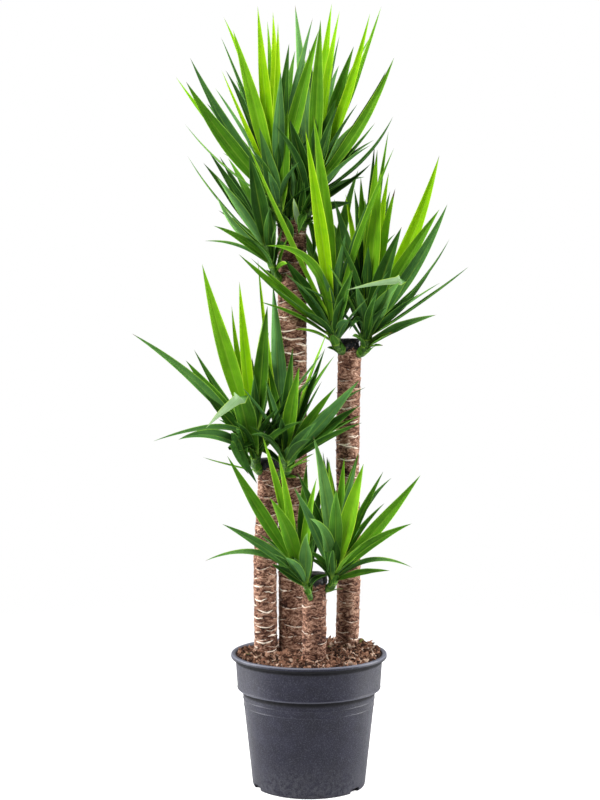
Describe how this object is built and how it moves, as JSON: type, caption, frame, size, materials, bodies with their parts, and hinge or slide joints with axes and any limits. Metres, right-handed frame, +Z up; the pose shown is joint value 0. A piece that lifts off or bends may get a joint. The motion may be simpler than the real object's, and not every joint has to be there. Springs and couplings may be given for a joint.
{
  "type": "potted yucca",
  "caption": "Indoor yucca with woody canes of stepped height, wax-sealed at the top, and shoots of sword-shaped leaves, planted in a round tapered nursery pot that stands on the floor.",
  "frame": {"origin": "middle of the pot's underside, on the surface it stands on", "axes": "+Z up along the canes, -Y towards the front of the plant, +X to its right as seen from the front"},
  "size_m": [0.7268, 0.5652, 1.7105],
  "materials": {
    "pot": "matte, fine grain",
    "soil": "crumbly coir and bark mix",
    "bark": "fibrous flaking bark with pale leaf scars",
    "wax": "glossy black sealing wax",
    "leaf": "smooth, half glossy green leaf"
  },
  "bodies": {
    "root": {"pot": "pot", "soil": "soil", "cane_120": "bark", "cane_90": "bark", "cane_60": "bark", "cane_30": "bark", "wax_seal_120": "wax", "wax_seal_90": "wax", "wax_seal_60": "wax", "wax_seal_30": "wax", "shoot_120_left": "leaf", "shoot_120_front": "leaf", "shoot_120_right": "leaf", "shoot_90_left": "leaf", "shoot_90_right": "leaf", "shoot_60_left": "leaf", "shoot_60_right": "leaf", "shoot_30_left": "leaf", "shoot_30_right": "leaf"}
  },
  "joints": []
}
